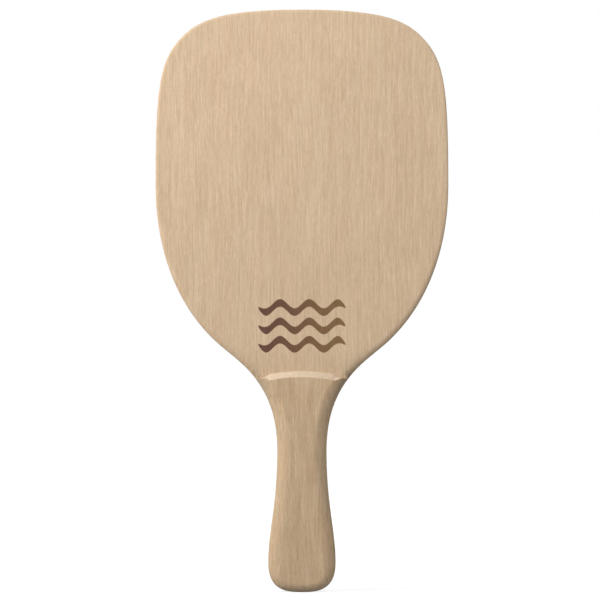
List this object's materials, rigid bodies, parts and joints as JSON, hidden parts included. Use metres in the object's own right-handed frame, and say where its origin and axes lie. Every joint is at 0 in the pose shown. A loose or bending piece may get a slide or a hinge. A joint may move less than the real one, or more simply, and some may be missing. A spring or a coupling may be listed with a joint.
{
  "type": "beach racket",
  "caption": "Flat wooden beach racket: a squarish plywood blade whose tang runs between two rounded, glued-on handle cheeks.",
  "frame": {"origin": "middle of the butt's lowest point, between the two faces", "axes": "+Z along the handle to the blade's tip, -Y out of the front face, X across the blade"},
  "size_m": [0.1912, 0.025, 0.38],
  "materials": {
    "face_veneer": "pale straight-grained veneer, sanded and matt lacquered",
    "crossband_veneer": "plain veneer laid across, seen as darker end grain at the edge",
    "core_veneer": "plain veneer laid along, seen only at the edge",
    "handle_wood": "solid straight-grained wood, sanded smooth and matt lacquered"
  },
  "bodies": {
    "root": {"front_face_veneer": "face_veneer", "front_crossband": "crossband_veneer", "core_ply": "core_veneer", "rear_crossband": "crossband_veneer", "rear_face_veneer": "face_veneer", "front_handle_cheek": "handle_wood", "rear_handle_cheek": "handle_wood"}
  },
  "joints": []
}
